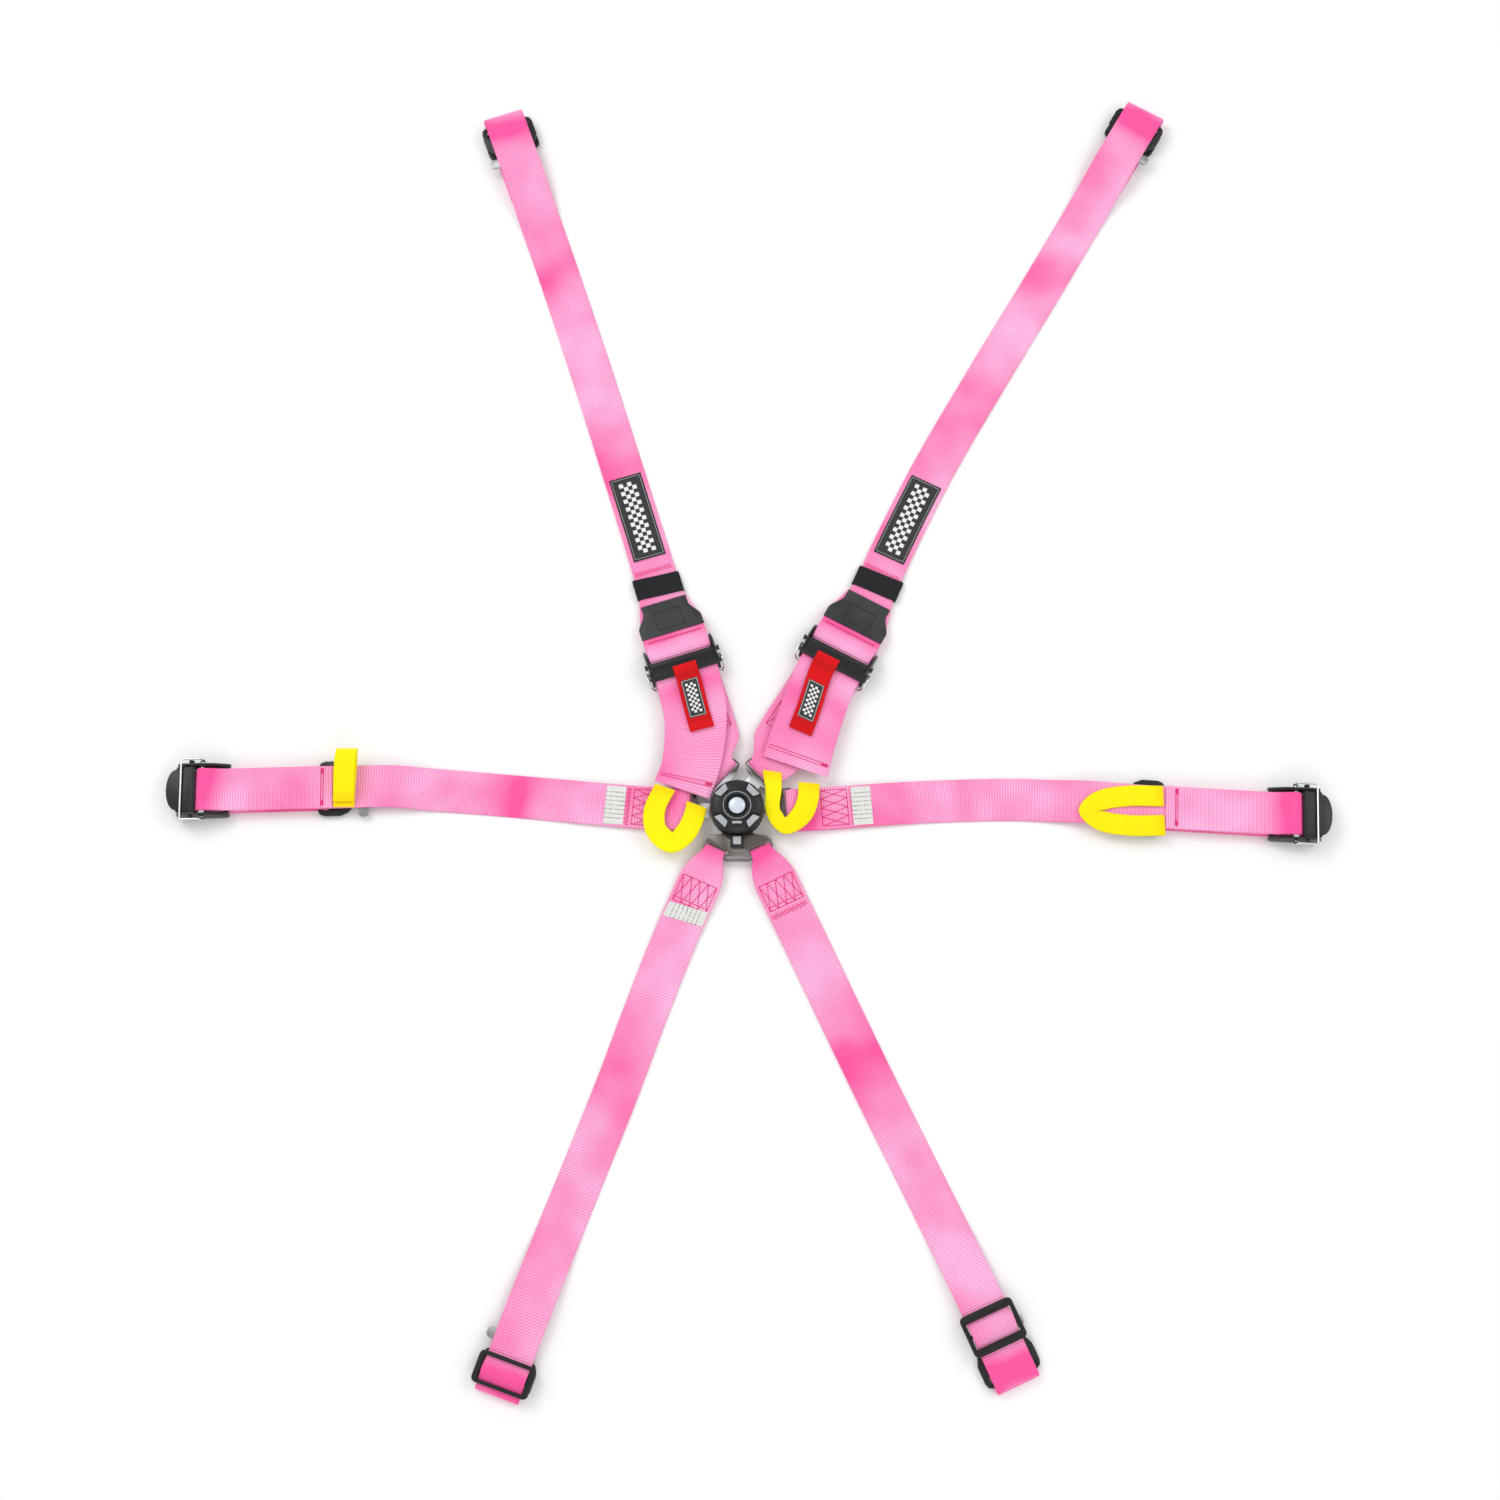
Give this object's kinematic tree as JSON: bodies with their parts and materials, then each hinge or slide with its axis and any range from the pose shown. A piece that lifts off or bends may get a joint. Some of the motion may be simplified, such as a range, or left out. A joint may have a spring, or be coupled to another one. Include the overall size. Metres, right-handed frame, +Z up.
{
  "type": "racing harness",
  "caption": "Cam-lock racing harness laid flat: shoulder, lap and crotch webbing belts with lever adjusters, slides, pull loops and snap-hook brackets.",
  "frame": {"origin": "centre of the buckle's back plate, on the surface that the harness lies on", "axes": "+X to the right-hand lap belt, +Y towards the shoulder belts, +Z up, out of the buckle's face"},
  "size_m": [1.3594, 1.5954, 0.036],
  "materials": {
    "webbing": "ribbed polyester webbing",
    "pull_webbing": "ribbed polyester webbing",
    "tab_webbing": "smooth woven tape",
    "black_steel": "black coated pressed steel",
    "dark_nickel": "dark nickel plate",
    "bright_steel": "polished",
    "gate_steel": "zinc plated spring steel",
    "black_plastic": "moulded",
    "grey_plastic": "moulded"
  },
  "bodies": {
    "buckle": {"buckle_back_plate": "black_steel", "buckle_housing": "black_plastic", "centre_bolt": "bright_steel", "tail_cover": "black_plastic", "crotch_plate": "dark_nickel", "return_spring": "bright_steel", "crotch_left_webbing": "webbing", "crotch_left_slide": "black_steel", "crotch_left_bracket": "black_steel", "crotch_right_webbing": "webbing", "crotch_right_slide": "black_steel", "crotch_right_bracket": "black_steel"},
    "knob": {"knob": "black_plastic", "knob_cap": "bright_steel", "cam_ring": "bright_steel"},
    "latch": {"latch_carrier": "bright_steel"},
    "button": {"release_button": "grey_plastic"},
    "shoulder_left": {"shoulder_left_tongue": "bright_steel", "shoulder_left_lower_webbing": "webbing", "shoulder_left_upper_webbing": "webbing", "shoulder_left_adjuster_frame": "black_steel", "shoulder_left_roller": "bright_steel", "shoulder_left_slide": "black_steel", "shoulder_left_bracket": "black_steel", "shoulder_left_pull_loop": "pull_webbing"},
    "shoulder_left_lever": {"shoulder_left_lever": "black_steel", "shoulder_left_lever_tab": "tab_webbing"},
    "shoulder_left_gate": {"shoulder_left_gate": "gate_steel"},
    "lap_left": {"lap_left_tongue": "bright_steel", "lap_left_webbing": "webbing", "lap_left_anchor_webbing": "webbing", "lap_left_adjuster_frame": "black_steel", "lap_left_roller": "bright_steel", "lap_left_bracket": "black_steel", "lap_left_pull_loop": "pull_webbing"},
    "lap_left_lever": {"lap_left_lever": "black_steel"},
    "lap_left_gate": {"lap_left_gate": "gate_steel"},
    "crotch_left_gate": {"crotch_left_gate": "gate_steel"},
    "shoulder_right": {"shoulder_right_tongue": "bright_steel", "shoulder_right_lower_webbing": "webbing", "shoulder_right_upper_webbing": "webbing", "shoulder_right_adjuster_frame": "black_steel", "shoulder_right_roller": "bright_steel", "shoulder_right_slide": "black_steel", "shoulder_right_bracket": "black_steel", "shoulder_right_pull_loop": "pull_webbing"},
    "shoulder_right_lever": {"shoulder_right_lever": "black_steel", "shoulder_right_lever_tab": "tab_webbing"},
    "shoulder_right_gate": {"shoulder_right_gate": "gate_steel"},
    "lap_right": {"lap_right_tongue": "bright_steel", "lap_right_webbing": "webbing", "lap_right_anchor_webbing": "webbing", "lap_right_adjuster_frame": "black_steel", "lap_right_roller": "bright_steel", "lap_right_bracket": "black_steel", "lap_right_pull_loop": "pull_webbing"},
    "lap_right_lever": {"lap_right_lever": "black_steel"},
    "lap_right_gate": {"lap_right_gate": "gate_steel"},
    "crotch_right_gate": {"crotch_right_gate": "gate_steel"}
  },
  "joints": [
    {"name": "knob_turn", "type": "hinge", "parent": "buckle", "child": "knob", "pos_m": [0, 0, 0.025], "axis": [0, 0, 1], "range_deg": [0, 40], "stiffness_Nm_per_rad": 0.3},
    {"name": "latch_lift", "type": "slide", "parent": "buckle", "child": "latch", "axis": [0, 0, 1], "range_m": [0, 0.0041], "deforming": ["return_spring"]},
    {"name": "release_button_press", "type": "slide", "parent": "buckle", "child": "button", "axis": [0, 0, -1], "range_m": [0, 0.002], "stiffness_N_per_m": 400},
    {"name": "shoulder_left_swivel", "type": "hinge", "parent": "buckle", "child": "shoulder_left", "pos_m": [-0.00663, 0.01727, 0.00825], "axis": [0, 0, 1], "range_deg": [-2, 2]},
    {"name": "lap_left_swivel", "type": "hinge", "parent": "buckle", "child": "lap_left", "pos_m": [-0.0185, -0.00029, 0.00825], "axis": [0, 0, 1], "range_deg": [-3, 3]},
    {"name": "shoulder_left_lever_lift", "type": "hinge", "parent": "shoulder_left", "child": "shoulder_left_lever", "pos_m": [-0.06559, 0.18253, 0.0185], "axis": [-0.9537, -0.3009, 0], "range_deg": [0, 60]},
    {"name": "lap_left_lever_lift", "type": "hinge", "parent": "lap_left", "child": "lap_left_lever", "pos_m": [-0.63765, 0.02167, 0.0185], "axis": [-0.0281, 0.9996, 0], "range_deg": [0, 70]},
    {"name": "shoulder_left_gate_swing", "type": "hinge", "parent": "shoulder_left", "child": "shoulder_left_gate", "pos_m": [-0.29154, 0.85591, 0.013], "axis": [0, 0, 1], "range_deg": [0, 28], "stiffness_Nm_per_rad": 0.05},
    {"name": "lap_left_gate_swing", "type": "hinge", "parent": "lap_left", "child": "lap_left_gate", "pos_m": [-0.45043, 0.01787, 0.0055], "axis": [0, 0, 1], "range_deg": [0, 28], "stiffness_Nm_per_rad": 0.05},
    {"name": "crotch_left_gate_swing", "type": "hinge", "parent": "buckle", "child": "crotch_left_gate", "pos_m": [-0.254, -0.60982, 0.0055], "axis": [0, 0, -1], "range_deg": [0, 28], "stiffness_Nm_per_rad": 0.05},
    {"name": "shoulder_right_swivel", "type": "hinge", "parent": "buckle", "child": "shoulder_right", "pos_m": [0.00939, 0.01594, 0.00825], "axis": [0, 0, 1], "range_deg": [-2, 2]},
    {"name": "lap_right_swivel", "type": "hinge", "parent": "buckle", "child": "lap_right", "pos_m": [0.0185, -0.00029, 0.00825], "axis": [0, 0, 1], "range_deg": [-3, 3]},
    {"name": "shoulder_right_lever_lift", "type": "hinge", "parent": "shoulder_right", "child": "shoulder_right_lever", "pos_m": [0.11977, 0.18788, 0.0185], "axis": [-0.88, 0.4751, 0], "range_deg": [0, 60]},
    {"name": "lap_right_lever_lift", "type": "hinge", "parent": "lap_right", "child": "lap_right_lever", "pos_m": [0.6638, -0.00762, 0.0185], "axis": [-0.0529, -0.9986, 0], "range_deg": [0, 70]},
    {"name": "shoulder_right_gate_swing", "type": "hinge", "parent": "shoulder_right", "child": "shoulder_right_gate", "pos_m": [0.50166, 0.86452, 0.013], "axis": [0, 0, -1], "range_deg": [0, 28], "stiffness_Nm_per_rad": 0.05},
    {"name": "lap_right_gate_swing", "type": "hinge", "parent": "lap_right", "child": "lap_right_gate", "pos_m": [0.45852, -0.00407, 0.0055], "axis": [0, 0, -1], "range_deg": [0, 28], "stiffness_Nm_per_rad": 0.05},
    {"name": "crotch_right_gate_swing", "type": "hinge", "parent": "buckle", "child": "crotch_right_gate", "pos_m": [0.29746, -0.59855, 0.0055], "axis": [0, 0, 1], "range_deg": [0, 28], "stiffness_Nm_per_rad": 0.05}
  ],
  "couplings": [
    {"joint": "latch_lift", "follows": "knob_turn", "m_per_rad": 0.00573}
  ]
}
